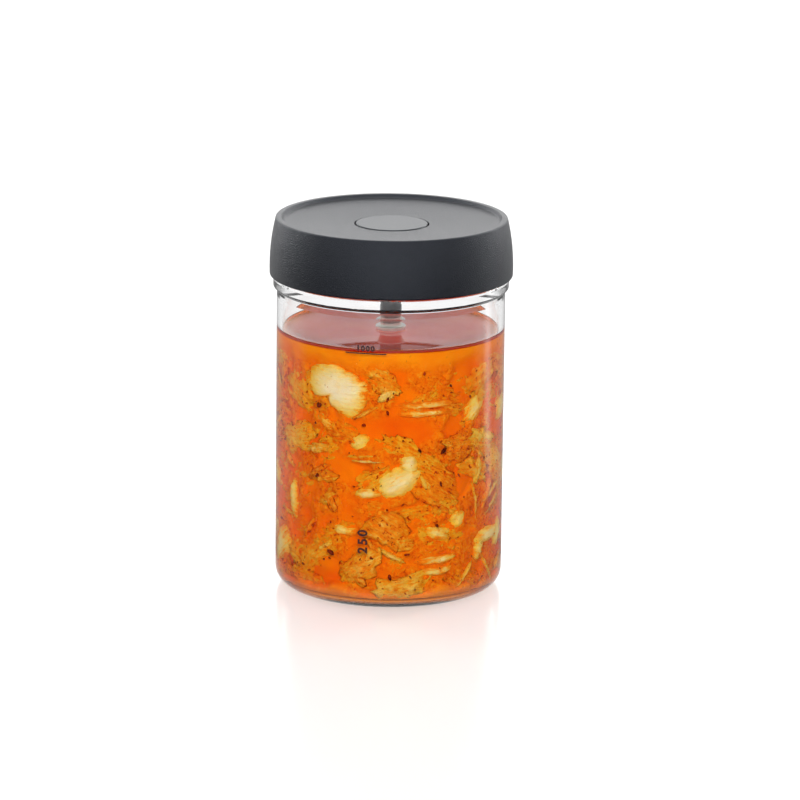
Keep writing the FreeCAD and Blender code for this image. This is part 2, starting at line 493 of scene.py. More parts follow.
def chilli_material():
    """Dried red chilli, crushed: dark red skin, wet, a little glossy."""
    material, tree = new_material("crushed_chilli_flake")
    place = add(tree, "ShaderNodeTexCoord").outputs["Object"]
    skin = add(tree, "ShaderNodeTexNoise", {"Vector": place, "Scale": 1 / (2.5 * MM), "Detail": 2.0})
    colour = add(
        tree,
        "ShaderNodeValToRGB",
        {"Fac": skin.outputs["Fac"]},
        stops=[(0.35, "#4c1004"), (0.5, "#7c1e08"), (0.65, "#b43410")],
    )
    flake = add(
        tree,
        "ShaderNodeBsdfPrincipled",
        {"Base Color": colour.outputs["Color"], "Roughness": 0.35, "Specular IOR Level": 0.3},
    )
    add(tree, "ShaderNodeOutputMaterial", {"Surface": flake.outputs[0]})
    return material


def gas_in_brine():
    """A bubble of gas in brine: it bends light the other way, so it is a bright dot with a dark edge."""
    material, tree = new_material("gas_bubble_in_brine")
    gas = add(
        tree,
        "ShaderNodeBsdfPrincipled",
        {"Base Color": linear(WHITE), "Roughness": 0.0, "IOR": 1 / BRINE_IOR, "Transmission Weight": 1.0},
    )
    surface = lets_lamps_through(tree, gas.outputs[0], linear(WHITE))
    add(tree, "ShaderNodeOutputMaterial", {"Surface": surface})
    return material


def printing_ink():
    """Black ceramic ink, screen printed and fired on the glass: dark, nearly matt, with a dry edge."""
    material, tree = new_material("ceramic_ink_fired")
    place = add(tree, "ShaderNodeTexCoord").outputs["Object"]
    mottle = add(tree, "ShaderNodeTexNoise", {"Vector": place, "Scale": 1 / (0.4 * MM), "Detail": 2.0})
    colour = add(
        tree, "ShaderNodeValToRGB", {"Fac": mottle.outputs["Fac"]}, stops=[(0.3, "#2c1410"), (0.7, "#43201a")]
    )
    ink = add(
        tree,
        "ShaderNodeBsdfPrincipled",
        {"Base Color": colour.outputs["Color"], "Roughness": 0.5, "IOR": 1.5},
    )
    add(tree, "ShaderNodeOutputMaterial", {"Surface": ink.outputs[0]})
    return material


def grained_polypropylene(name, colour, grain, roughness, strength):
    """Polypropylene moulded in a spark-eroded tool: dark, low sheen, with a fine even grain that glints."""
    material, tree = new_material(name)
    place = add(tree, "ShaderNodeTexCoord").outputs["Object"]
    pits = add(
        tree, "ShaderNodeTexNoise", {"Vector": place, "Scale": 1 / grain, "Detail": 3.0, "Roughness": 0.6}
    )
    bump = add(
        tree,
        "ShaderNodeBump",
        {"Height": pits.outputs["Fac"], "Strength": strength, "Distance": 0.3 * MM},
    )
    plastic = add(
        tree,
        "ShaderNodeBsdfPrincipled",
        {
            "Base Color": colour,
            "Roughness": roughness,
            "IOR": 1.5,
            "Specular Tint": linear("#e4ecfa"),
            "Normal": bump.outputs[0],
        },
    )
    add(tree, "ShaderNodeOutputMaterial", {"Surface": plastic.outputs[0]})
    return material


def turned_steel():
    """Stainless steel turned on a lathe and satin polished: soft grey gloss with faint turning lines.

    Real turning lines are under 0.2 mm apart. They are drawn 1.2 mm apart, so that they show.
    """
    material, tree = new_material("stainless_steel_turned")
    place = add(tree, "ShaderNodeTexCoord").outputs["Object"]
    lines = add(
        tree, "ShaderNodeTexWave", {"Vector": place, "Scale": 1 / (1.2 * MM)}, bands_direction="Z"
    )
    bump = add(
        tree,
        "ShaderNodeBump",
        {"Height": lines.outputs["Fac"], "Strength": 0.1, "Distance": 0.02 * MM},
    )
    steel = add(
        tree,
        "ShaderNodeBsdfPrincipled",
        {
            "Base Color": linear("#e6e2da"),
            "Metallic": 1.0,
            "Roughness": 0.32,
            "Normal": bump.outputs[0],
        },
    )
    add(tree, "ShaderNodeOutputMaterial", {"Surface": steel.outputs[0]})
    return material


def white_board(glow):
    """Matt white laminate board: it keeps a soft shadow and a faint, blurred reflection.

    Its own glow makes up what the lamps leave short of white where it is seen directly. Through glass it is
    plain white, with a painted orange shade under the jar. In gloss it shows a painted glow instead: dim near
    the jar's front, and bright at its foot, behind it, far in front, and along a streak at the right. These
    paint the glass's reflections, the lid's sheen and a soft line of light on the glass.
    """
    material, tree = new_material("laminate_board_with_painted_glow")
    path = add(tree, "ShaderNodeLightPath")
    board = add(
        tree,
        "ShaderNodeBsdfPrincipled",
        {"Base Color": linear("#ececec"), "Roughness": 0.2, "Specular IOR Level": 0.5},
    )
    share = add(tree, "ShaderNodeMath", {0: path.outputs["Is Camera Ray"], 1: glow}, operation="MULTIPLY")
    light = add(tree, "ShaderNodeEmission", {"Color": linear(WHITE), "Strength": share.outputs[0]})
    seen = add(tree, "ShaderNodeAddShader", {0: board.outputs[0], 1: light.outputs[0]}).outputs[0]
    place = add(tree, "ShaderNodeTexCoord").outputs["Object"]
    spot = add(tree, "ShaderNodeSeparateXYZ", {0: place})
    radius, _ = radius_and_height(tree)
    from_front = add(tree, "ShaderNodeVectorMath", {0: place, 1: (-0.1, -1.7, 0.0)}, operation="DISTANCE")
    # painted glow for glossy rays only: behind the jar, at its foot, far in front where it paints the lid's
    # sheen, and at the right
    behind, foot, front, far_right = (
        add(
            tree,
            "ShaderNodeMapRange",
            {"Value": value, "From Min": start, "From Max": end, "To Min": first, "To Max": last},
        ).outputs[0]
        for value, start, end, first, last in (
            (spot.outputs["Y"], -0.02, 0.1, 0.06, 0.45),
            (radius, 0.062, 0.095, 0.85, 0.0),
            (from_front.outputs["Value"], 0.75, 1.15, 5.0, 0.0),
            (spot.outputs["X"], 0.15, 0.35, 0.0, 1.6),
        )
    )
    # a painted streak: a wedge of glow at the right, which the glass shows as a soft line of light
    slope = add(tree, "ShaderNodeMath", {0: spot.outputs["Y"], 1: spot.outputs["X"]}, operation="DIVIDE")
    streak = add(
        tree,
        "ShaderNodeValToRGB",
        {"Fac": slope.outputs[0]},
        stops=[(0.22, BLACK), (0.36, WHITE), (0.4, WHITE), (0.56, BLACK)],
    )
    lit = add(tree, "ShaderNodeMath", {0: behind, 1: foot}, operation="MAXIMUM")
    lit = add(
        tree,
        "ShaderNodeMath",
        {0: streak.outputs["Color"], 1: far_right, 2: lit.outputs[0]},
        operation="MULTIPLY_ADD",
    )
    lit = add(tree, "ShaderNodeMath", {0: front, 1: lit.outputs[0]}, operation="ADD")
    # painted reflection: this glow is seen only by glossy rays
    mirrored = add(tree, "ShaderNodeEmission", {"Color": linear(WHITE), "Strength": lit.outputs[0]})
    # painted shade for rays through glass: dark orange under the jar, as if lit only through the brine, and
    # white beyond its foot
    in_decimetres = add(tree, "ShaderNodeMath", {0: radius, 1: 10.0}, operation="MULTIPLY")
    under = add(
        tree,
        "ShaderNodeValToRGB",
        {"Fac": in_decimetres.outputs[0]},
        stops=[(0.48, "#d8822c"), (0.55, "#e8b088"), (0.66, WHITE)],
    )
    through = add(tree, "ShaderNodeEmission", {"Color": under.outputs["Color"], "Strength": 1.0})
    for ray, shader in (("Is Glossy Ray", mirrored), ("Is Transmission Ray", through)):
        mix = add(tree, "ShaderNodeMixShader", {0: path.outputs[ray], 1: seen, 2: shader.outputs[0]})
        seen = mix.outputs[0]
    add(tree, "ShaderNodeOutputMaterial", {"Surface": seen})
    return material


# ---------------------------------------------------------------- making the pieces


def give(node, material):
    """Puts a finish on a CAD node that stays as it is."""
    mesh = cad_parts[node].data
    mesh.materials.clear()
    mesh.materials.append(material)


def place_piece(piece, body, replaced=()):
    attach(piece, body)
    if replaced:
        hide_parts(*replaced)


class JAR_OT_glass(bpy.types.Operator):
    """Gives the jar its clear glass"""

    bl_idname = "jar.glass"
    bl_label = "Jar Glass"

    def execute(self, context):
        give("jar_glass", borosilicate_glass())
        return {"FINISHED"}


class JAR_OT_lid(bpy.types.Operator):
    """Gives the lid, its button and the steel knob their finishes"""

    bl_idname = "jar.lid"
    bl_label = "Lid, Button and Knob"

    def execute(self, context):
        settings = context.scene.jar_lid
        give("lid", grained_polypropylene("lid_polypropylene_grained", tuple(settings.lid_colour),
                                          settings.grain, 0.3, 1.0))
        give("lid_button", grained_polypropylene("button_polypropylene_fine", tuple(settings.button_colour),
                                                 settings.grain / 2, 0.36, 0.15))
        give("steel_knob", turned_steel())
        return {"FINISHED"}


class JAR_OT_brine(bpy.types.Operator):
    """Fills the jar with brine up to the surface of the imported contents"""

    bl_idname = "jar.brine"
    bl_label = "Brine"

    def execute(self, context):
        settings = context.scene.jar_brine
        radius = WALL + settings.wall_overlap
        floor = FLOOR - settings.wall_overlap
        outline = [(0.0, floor), (radius - CORNER, floor)]
        corner_steps = 8
        for step in range(1, corner_steps + 1):
            angle = math.pi / 2 * step / corner_steps
            outline.append(
                (radius - CORNER + CORNER * math.sin(angle), floor + CORNER - CORNER * math.cos(angle))
            )
        # a ring just inside each end of the wall keeps its shading level
        edge = 0.05 * MM
        outline.append((radius, floor + CORNER + edge))
        outline.append((radius, SURFACE + settings.meniscus - edge))
        outline += meniscus_outline(radius, settings.meniscus)
        outline.append((0.0, SURFACE))
        brine = turned_piece("brine", outline, 256, kimchi_brine(settings))
        place_piece(brine, "jar", ["contents"])
        return {"FINISHED"}


def meniscus_outline(radius, climb):
    """The liquid's edge from the wall inwards: it climbs the glass and falls away over a few millimetres."""
    fall = 1.8 * MM
    spread = 9 * MM
    steps = 14
    return [
        (radius - spread * step / steps, SURFACE + climb * math.exp(-spread * step / steps / fall))
        for step in range(steps + 1)
    ]


def round_the_wall(azimuth, height, depth):
    """A point in the jar. azimuth: degrees from the front, + to the right. depth: inwards from the wall.

    Near the floor the wall turns in, and the point with it.
    """
    height = max(height, FLOOR + 0.4 * MM)
    corner = max(0.0, 1 - (height - FLOOR) / CORNER)
    radius = WALL - CORNER * (1 - math.sqrt(1 - corner**2)) - depth
    angle = math.radians(azimuth)
    return (radius * math.sin(angle), -radius * math.cos(angle), height)


class JAR_OT_haze(bpy.types.Operator):
    """Fills the middle of the jar with brine too cloudy to see through"""

    bl_idname = "jar.haze"
    bl_label = "Cloudy Brine"

    def execute(self, context):
        settings = context.scene.jar_kimchi
        place_piece(cloudy_drum(settings), "jar")
        return {"FINISHED"}


def cloudy_drum(settings):
    """A soft-sided drum: close to the wall above the cabbage, and further in, unevenly, beside it.

    Its top is dished, so that clearer brine lies over the middle.
    """
    around, rows = 240, 120
    hug = 0.3 * MM  # how near the drum comes to the glass
    lump, fold = 13, 3.2  # widths of its swells and of its fibres, in mm
    low, high = FLOOR + hug, SURFACE - hug
    shoulder = SURFACE - settings.top
    points, matted = [], []
    for row in range(rows + 1):
        up = low + (high - low) * row / rows
        for step in range(around):
            angle = 2 * math.pi * step / around
            spot = Vector((math.cos(angle) * WALL, math.sin(angle) * WALL, up)) / MM
            lumps = noise.fractal(spot / lump, 1.0, 2.0, 2)
            folds = noise.fractal(spot / fold, 0.9, 2.1, 3)
            near = smooth_step((up - shoulder + (4 + 5 * lumps) * MM) / (13 * MM))
            near = max(near, smooth_step((low + (5 + 8 * lumps) * MM - up) / (6 * MM)))
            mat = smooth_step(0.75 + 1.6 * lumps) * (1 - near) * open_share(angle, up)
            # fibres stand nearer the glass than smooth brine, with folds of their own
            depth = settings.haze_depth * (1 + 0.35 * lumps) * (1 - 0.4 * mat) + 1.1 * MM * folds * mat
            depth = max(hug, depth * (1 - near) + hug * near)
            matted.append(mat)
            corner = max(0.0, 1 - (up - low) / CORNER)
            depth = max(depth, hug + CORNER * (1 - math.sqrt(1 - corner**2)))
            points.append(((WALL - depth) * math.cos(angle), (WALL - depth) * math.sin(angle), up))
    inward = ((2.5, 1.2), (6, 4), (11, 7), (18, 8.5), (30, 9))  # the top: mm in from the wall, and down
    for reach, drop in inward:
        for step in range(around):
            angle = 2 * math.pi * step / around
            radius = WALL - hug - reach * MM
            points.append((radius * math.cos(angle), radius * math.sin(angle), high - drop * MM))
    faces = []
    for row in range(rows + len(inward)):
        for step in range(around):
            after = (step + 1) % around
            a, b = row * around, (row + 1) * around
            faces.append((a + step, a + after, b + after, b + step))
    points += [(0, 0, low), (0, 0, high - inward[-1][1] * MM)]
    base, crest = len(points) - 2, len(points) - 1
    last = (rows + len(inward)) * around
    for step in range(around):
        after = (step + 1) % around
        faces.append((base, after, step))
        faces.append((crest, last + step, last + after))
    drum = mesh_piece("cloudy_brine", points, faces, cloudy_brine())
    matted += [0.0] * (len(points) - len(matted))
    drum.data.attributes.new("matted", "FLOAT", "POINT").data.foreach_set("value", matted)
    return drum


def open_share(angle, up):
    """0 in the middle of a clearing, 1 outside all of them. angle: round the jar from +X, in radians."""
    azimuth = (math.degrees(angle) + 270) % 360 - 180
    share = 1.0
    for (across, height), half, tall in CLEARINGS:
        reach = math.hypot((azimuth - across) / half, (up / MM - height) / tall)
        share = min(share, smooth_step(reach - 0.5))
    return share


def smooth_step(value):
    value = min(1.0, max(0.0, value))
    return value * value * (3 - 2 * value)


class Pad:
    """One piece of cabbage laid against the wall: a closed, crumpled pad.

    place: (azimuth in degrees, height) of its middle. size: (along, across). turn: degrees it leans from
    level. thick: its thickness. depth: from the wall to its nearest point. lean: how far its left, right,
    lower and upper ends fall away from the wall. blocky: 2 is an oval, more is nearer a rectangle. crumple:
    height and width of its folds. ragged: how far its outline strays. tone: its stain, and soak what its rim
    adds to it. outline: corners from its middle, anticlockwise from the right, in place of the oval.
    """

    def __init__(self, place, size, turn=0.0, thick=1.0 * MM, depth=0.5 * MM, lean=(0, 0, 0, 0),
                 blocky=2.4, crumple=(1.0 * MM, 4 * MM), ragged=0.22, tone=0.5, soak=0.45,
                 shape_seed=0, outline=None):
        self.place, self.size, self.turn, self.thick, self.depth = place, size, turn, thick, depth
        self.lean, self.blocky, self.crumple, self.ragged = lean, blocky, crumple, ragged
        self.tone, self.soak, self.shape_seed, self.outline = tone, soak, shape_seed, outline

    def build(self, points, faces, stains, grains, rings, steps):
        first = len(points)
        shift = Vector((self.shape_seed * 3.7, self.shape_seed * 1.9, 5.3))
        for side in (0, 1):
            for ring in range(rings + 1 - side):
                for step in range(steps if ring else 1):
                    angle = 2 * math.pi * step / steps
                    self.add_point(points, stains, grains, side, ring / rings, angle, shift)
        self.add_faces(faces, first, rings, steps)

    def add_point(self, points, stains, grains, side, share, angle, shift):
        across, up = math.cos(angle), math.sin(angle)
        reach = (abs(across) ** self.blocky + abs(up) ** self.blocky) ** (-1 / self.blocky)
        around = Vector((across, up, 0))
        if self.outline:
            reach = outline_reach(self.outline, angle)
            across, up = across * 2 / self.size[0], up * 2 / self.size[1]
        reach *= 1 + self.ragged * noise.fractal(around * 1.3 + shift, 0.8, 2.0, 4)
        reach *= 1 + 0.07 * noise.noise(around * 8 + shift)
        flat = Vector((across * reach * share * self.size[0] / 2, up * reach * share * self.size[1] / 2))
        turn = math.radians(self.turn)
        along = flat.x * math.cos(turn) - flat.y * math.sin(turn)
        height = flat.x * math.sin(turn) + flat.y * math.cos(turn)
        left, right, lower, upper = self.lean
        fall = (left if across < 0 else right) * (abs(flat.x) * 2 / self.size[0]) ** 2
        fall += (lower if up < 0 else upper) * (abs(flat.y) * 2 / self.size[1]) ** 2
        tall, wide = self.crumple
        folds = noise.fractal(Vector((flat.x, flat.y * 1.6, 0)) / wide + shift * 2, 0.9, 2.1, 4)
        depth = self.depth + fall + tall * (0.5 + folds) * (0.4 + 0.6 * share)
        swell = self.thick * (1 - share**4) ** 0.5
        depth += self.thick * 0.5 - swell * 0.5 if side == 0 else self.thick * 0.5 + swell * 0.5
        depth = soft_floor(depth, 0.25 * MM)
        azimuth = self.place[0] + math.degrees(along / WALL)
        points.append(round_the_wall(azimuth, self.place[1] + height, depth))
        # painted shade darkens the folds that lie deeper, and the crests stay lighter as a painted highlight
        stains.append(self.tone + self.soak * share**2 + 0.25 * max(-0.6, folds * 0.8))
        # ribs are drawn out along the piece, and each piece has its own
        grains += (0.22 * flat.x + self.shape_seed * 0.01, flat.y, 0.3 * depth)

    def add_faces(self, faces, first, rings, steps):
        """The front, then the back, which shares the front's rim."""
        back = first + 1 + rings * steps

        def front_point(ring, step):
            return first if ring == 0 else first + 1 + (ring - 1) * steps + step % steps

        def back_point(ring, step):
            if ring == rings:
                return front_point(ring, step)
            return back if ring == 0 else back + 1 + (ring - 1) * steps + step % steps

        for step in range(steps):
            faces.append((front_point(0, 0), front_point(1, step), front_point(1, step + 1)))
            faces.append((back_point(0, 0), back_point(1, step + 1), back_point(1, step)))
            for ring in range(1, rings):
                inner, outer = (ring, step), (ring + 1, step)
                faces.append((front_point(*inner), front_point(*outer),
                              front_point(ring + 1, step + 1), front_point(ring, step + 1)))
                faces.append((back_point(*inner), back_point(ring, step + 1),
                              back_point(ring + 1, step + 1), back_point(*outer)))


def outline_reach(corners, angle):
    """How far an outline lies from its middle at an angle, turning smoothly from corner to corner."""
    spots = sorted((math.atan2(y, x) % (2 * math.pi), math.hypot(x, y)) for x, y in corners)
    spots = [(spots[-1][0] - 2 * math.pi, spots[-1][1]), *spots, (spots[0][0] + 2 * math.pi, spots[0][1])]
    for (start, low), (end, high) in zip(spots, spots[1:]):
        if start <= angle % (2 * math.pi) <= end:
            return low + (high - low) * smooth_step((angle % (2 * math.pi) - start) / (end - start))
    raise ValueError("the outline's corners don't go round its middle")


def soft_floor(value, least):
    """Keeps a depth above the least with a smooth turn, as a piece pressed flat by the glass has."""
    over = value - least
    return least + (over if over > 2 * MM else math.log1p(math.exp(over / (0.35 * MM))) * 0.35 * MM)


def pads_piece(name, pads, rings, steps, material):
    """All the pads of one kind as one mesh, with their stain attribute, which holds their staining and the
    painted shade of their folds, and the run of their ribs.
    """
    points, faces, stains, grains = [], [], [], []
    for pad in pads:
        pad.build(points, faces, stains, grains, rings, steps)
    piece = mesh_piece(name, points, faces, material)
    stain = piece.data.attributes.new("stain", "FLOAT", "POINT")
    stain.data.foreach_set("value", stains)
    grain = piece.data.attributes.new("grain", "FLOAT_VECTOR", "POINT")
    grain.data.foreach_set("vector", grains)
    return piece


# What shows at the front, each with its middle (degrees to the right of the front, height in mm)
FRONT_STALKS = [
    # middle, size (mm), turn, thickness, depth, falls (left, right, lower, upper), blocky, tone
    ((-16, 80), (15, 12), -6, 4.0, 2.2, (2, 3, 2, 2), 3.0, 0.25),
    ((4, 61), (27, 19), 22, 5.0, 0.6, (3, 1, 3, 3), 2.6, 0.12),
    ((11, 71), (11, 13), 10, 4.0, 0.9, (2, 2, 1, 4), 2.6, 0.2),
    ((-12, 56), (17, 7), 4, 3.0, 0.9, (3, 1, 2, 2), 2.4, 0.3),
    ((51, 93), (20, 17), 38, 4.0, 0.9, (3, 2, 4, 3), 2.6, 0.4),
    ((19, 98.5), (32, 4.0), 1, 3.0, 1.0, (2, 0.5, 0.6, 1), 3.6, 0.62),
    ((19.5, 94.3), (32, 3.6), 1, 3.0, 1.2, (2, 0.5, 1, 0.6), 3.6, 0.66),
    ((40, 41.5), (13, 12), 20, 4.0, 1.6, (3, 2, 2, 2), 2.6, 0.4),
    ((27, 36), (18, 10), -12, 4.0, 1.4, (3, 1, 2, 3), 2.6, 0.36),
    ((28, 23), (28, 5), 3, 3.0, 0.9, (2, 3, 1, 1), 3.4, 0.5),
    ((28, 17.5), (26, 5), 2, 3.0, 1.1, (2, 3, 1, 1), 3.4, 0.56),
    ((-25, 37), (19, 8), -4, 3.0, 1.6, (3, 1, 2, 3), 2.4, 0.5),
    ((-60, 47), (8, 30), 4, 3.0, 0.8, (1, 2, 4, 3), 2.6, 0.4),
    ((56, 24), (9, 19), -18, 3.0, 0.8, (2, 1, 4, 3), 2.6, 0.3),
    ((-36, 88), (20, 7), -28, 3.0, 1.8, (3, 3, 1, 2), 2.6, 0.5),
]

# The largest midrib is boot shaped: its middle (degrees, mm), size (mm), and corners from the middle (mm)
BOOT_MIDDLE = (-29.5, 105.5)
BOOT_SIZE = (36, 29)
BOOT = [
    (16, 2), (11, 6), (4, 9), (-5, 13.5), (-12, 12), (-19, 8), (-20, 0), (-15, -4.5), (-5, -5), (-1, -11),
    (4, -14.5), (10, -15), (14.5, -9),
]

# Where only cloudy brine shows: middle, half width in degrees, half height in mm
CLEARINGS = [((4, 86), 22, 7), ((-36, 14), 12, 7), ((44, 62), 8, 6), ((-20, 66), 10, 5)]


def front_stalks():
    """The boot, then the rest of what shows at the front."""
    yield Pad(
        (BOOT_MIDDLE[0], BOOT_MIDDLE[1] * MM),
        tuple(side * MM for side in BOOT_SIZE),
        thick=5 * MM,
        depth=0.0,
        lean=(2.5 * MM, 1.5 * MM, 2.5 * MM, 3 * MM),
        blocky=2,
        crumple=(0.4 * MM, 6 * MM),
        ragged=0.07,
        tone=-0.1,
        soak=0.95,
        shape_seed=60,
        outline=[(across * MM, up * MM) for across, up in BOOT],
    )
    for index, (place, size, turn, thick, depth, lean, blocky, tone) in enumerate(FRONT_STALKS):
        yield Pad(
            (place[0], place[1] * MM),
            (size[0] * MM, size[1] * MM),
            turn,
            thick * MM,
            depth * MM,
            tuple(1.5 * fall * MM for fall in lean),
            blocky,
            (0.9 * MM, 5 * MM),
            0.2,
            tone,
            0.85,
            index + 1,
        )


def far_stalks(draw, settings, count):
    """Midribs round the sides and the back."""
    top = SURFACE - settings.top
    for index in range(count):
        azimuth = 66 + 228 * (index + draw.uniform(-0.4, 0.4)) / count
        yield Pad(
            (azimuth, draw.uniform(FLOOR + 12 * MM, top - 8 * MM)),
            (draw.uniform(13, 30) * MM, draw.uniform(7, 19) * MM),
            draw.uniform(-40, 40),
            draw.uniform(3, 5) * MM,
            draw.uniform(0.3, 1.8) * MM,
            tuple(draw.uniform(1, 4) * MM for _ in range(4)),
            draw.uniform(2.3, 3.6),
            (0.5 * MM, 6 * MM),
            0.2,
            draw.uniform(0.0, 0.5),
            0.5,
            100 + index,
        )


def leaves(draw, settings, stalks):
    """Leaf all round in staggered rows. Leaf behind a midrib lies deeper, and clearings stay open."""
    low, top = FLOOR + 6 * MM, SURFACE - settings.top - 3 * MM
    for row in range(settings.leaf_rows):
        for column in range(settings.leaves_in_row):
            azimuth = 360 * (column + 0.5 * (row % 2) + draw.uniform(-0.3, 0.3)) / settings.leaves_in_row
            azimuth = (azimuth + 180) % 360 - 180
            height = low + (top - low) * (row + draw.uniform(-0.3, 0.3)) / (settings.leaf_rows - 1)
            depth = draw.uniform(0.3, 1.9) * MM
            pad = Pad(
                (azimuth, height),
                (draw.uniform(20, 36) * MM, draw.uniform(11, 19) * MM),
                draw.uniform(-35, 35),
                draw.uniform(0.7, 1.2) * MM,
                depth,
                tuple(draw.uniform(0, 3.0) * MM for _ in range(4)),
                draw.uniform(1.9, 2.6),
                (draw.uniform(1.2, 2.4) * MM, draw.uniform(2.2, 4.5) * MM),
                0.6,
                draw.uniform(0.1, 0.6),
                0.0,
                200 + row * 40 + column,
            )
            if any(covers(pad, spot, half, tall) for spot, half, tall in CLEARINGS):
                continue
            if any(behind(pad, stalk) for stalk in stalks):
                pad.depth += 1.8 * MM
            yield pad


def shreds(draw, settings, stalks):
    """Fine strips and torn scraps near the wall, clear of the midribs that are pressed to it."""
    low, top = FLOOR + 3 * MM, SURFACE - settings.top - 3 * MM
    for index in range(settings.shreds):
        strip = draw.random() < 0.6
        pad = Pad(
            (draw.uniform(-180, 180), draw.uniform(low, top)),
            (draw.uniform(9, 22) * MM, (draw.uniform(1.4, 3.2) if strip else draw.uniform(4, 8)) * MM),
            draw.gauss(0, 35),
            draw.uniform(0.5, 1.0) * MM,
            draw.uniform(0.3, 1.8) * MM,
            tuple(draw.uniform(0, 2.5) * MM for _ in range(4)),
            2.2,
            (draw.uniform(0.8, 2.0) * MM, draw.uniform(1.8, 3.5) * MM),
            0.45,
            draw.uniform(0.0, 0.7),
            0.0,
            900 + index,
        )
        if any(covers(pad, spot, half * 0.8, tall) for spot, half, tall in CLEARINGS):
            continue
        if any(behind(pad, stalk) for stalk in stalks):
            pad.depth += 2.2 * MM
        yield pad


def covers(pad, spot, half, tall):
    return abs(pad.place[0] - spot[0]) < half and abs(pad.place[1] / MM - spot[1]) < tall


def behind(pad, stalk):
    """True where a leaf's middle is within the midrib's reach."""
    across = math.radians(pad.place[0] - stalk.place[0]) * WALL
    up = pad.place[1] - stalk.place[1]
    return math.hypot(across, up) < (max(stalk.size) + min(pad.size)) * 0.45


class JAR_OT_cabbage(bpy.types.Operator):
    """Packs the jar with cabbage"""

    bl_idname = "jar.cabbage"
    bl_label = "Cabbage"

    def execute(self, context):
        settings = context.scene.jar_kimchi
        draw = random.Random(settings.seed)
        stalks = list(front_stalks()) + list(far_stalks(draw, settings, 26))
        place_piece(pads_piece("cabbage_midribs", stalks, 14, 48, cabbage_stalk_material()), "jar")
        sheets = list(leaves(draw, settings, stalks))
        place_piece(pads_piece("cabbage_leaves", sheets, 11, 36, cabbage_leaf_material()), "jar")
        scraps = list(shreds(draw, settings, stalks))
        place_piece(pads_piece("leaf_shreds", scraps, 8, 32, leaf_shred_material()), "jar")
        return {"FINISHED"}


# Flakes that show at the front: (degrees to the right of the front, height in mm, length in mm)
FRONT_FLAKES = [
    (-39, 96, 4.0), (-1, 102, 3.2), (-1, 95.5, 2.6), (18, 114, 2.2), (16, 77, 3.0), (10, 27, 3.0),
    (1, 16, 3.6), (28, 60, 3.4), (29.5, 76, 4.5), (-31, 26, 4.5), (33, 107, 2.0), (46, 100, 1.8),
    (26, 40, 2.4), (-40, 62, 3),
]


class JAR_OT_chilli(bpy.types.Operator):
    """Strews crushed chilli through the brine at the wall"""

    bl_idname = "jar.chilli"
    bl_label = "Chilli Flakes"

    def execute(self, context):
        settings = context.scene.jar_kimchi
        draw = random.Random(settings.seed + 1)
        points, faces = [], []
        for azimuth, height, length in FRONT_FLAKES:
            chilli_flake(points, faces, draw, azimuth, height * MM, length * MM, 0.35 * MM)
        for _ in range(settings.flakes):
            azimuth, height = draw.uniform(-180, 180), draw.uniform(FLOOR + 4 * MM, SURFACE - 9 * MM)
            length = draw.triangular(0.5, 2.6, 0.8) * MM
            chilli_flake(points, faces, draw, azimuth, height, length, draw.uniform(0.3, 1.5) * MM)
        place_piece(mesh_piece("chilli_flakes", points, faces, chilli_material()), "jar")
        return {"FINISHED"}


def chilli_flake(points, faces, draw, azimuth, height, length, depth):
    """A thin, torn chip: an uneven rim round a raised middle, closed behind."""
    rim = 9
    turn = draw.uniform(0, math.pi)
    slim = draw.uniform(0.35, 0.8)
    first = len(points)
    thick = 0.25 * MM
    for step in range(rim):
        angle = 2 * math.pi * step / rim
        reach = length / 2 * draw.uniform(0.65, 1.1)
        x, y = reach * math.cos(angle), reach * slim * math.sin(angle)
        along = x * math.cos(turn) - y * math.sin(turn)
        up = x * math.sin(turn) + y * math.cos(turn)
        spot = azimuth + math.degrees(along / WALL)
        points.append(round_the_wall(spot, height + up, depth + thick * draw.uniform(0.5, 1.5)))
    points.append(round_the_wall(azimuth, height, depth))
    points.append(round_the_wall(azimuth, height, depth + 2 * thick))
    for step in range(rim):
        after = (step + 1) % rim
        faces.append((first + rim, first + step, first + after))
        faces.append((first + rim + 1, first + after, first + step))


class JAR_OT_bubbles(bpy.types.Operator):
    """Sets small gas bubbles at the wall, most of them under the surface and low on the right"""

    bl_idname = "jar.bubbles"
    bl_label = "Bubbles"

    def execute(self, context):
        draw = random.Random(context.scene.jar_kimchi.seed + 2)
        low_right, at_surface, anywhere = 34, 60, 60
        top = SURFACE - 4 * MM
        places = [(draw.gauss(55, 9), FLOOR + draw.uniform(3, 26) * MM) for _ in range(low_right)]
        places += [
            (draw.uniform(-180, 180), SURFACE - draw.expovariate(0.25) * MM - 1 * MM)
            for _ in range(at_surface)
        ]
        places += [(draw.uniform(-180, 180), draw.uniform(FLOOR + 3 * MM, top)) for _ in range(anywhere)]
        points, faces = [], []
        for azimuth, height in places:
            bubble(points, faces, azimuth, height, draw.triangular(0.2, 0.6, 0.25) * MM)
        place_piece(mesh_piece("gas_bubbles", points, faces, gas_in_brine()), "jar")
        return {"FINISHED"}


def bubble(points, faces, azimuth, height, radius):
    """A round bubble, a little flattened where it clings to the glass."""
    rows, around = 6, 10
    first = len(points)
    middle = Vector(round_the_wall(azimuth, height, radius + 0.15 * MM))
    out = Vector((middle.x, middle.y, 0)).normalized()
    for row in range(1, rows):
        tip = math.pi * row / rows
        for step in range(around):
            turn = 2 * math.pi * step / around
            side = Vector((math.sin(tip) * math.cos(turn), math.sin(tip) * math.sin(turn), math.cos(tip)))
            spot = side * radius
            points.append(tuple(middle + spot - out * 0.2 * max(0.0, spot.dot(out))))
    points += [tuple(middle + Vector((0, 0, radius))), tuple(middle - Vector((0, 0, radius)))]
    crest, base = len(points) - 2, len(points) - 1
    for step in range(around):
        after = (step + 1) % around
        faces.append((crest, first + step, first + after))
        for row in range(rows - 2):
            high, low = first + row * around, first + (row + 1) * around
            faces.append((high + step, low + step, low + after, high + after))
        last = first + (rows - 2) * around
        faces.append((base, last + after, last + step))


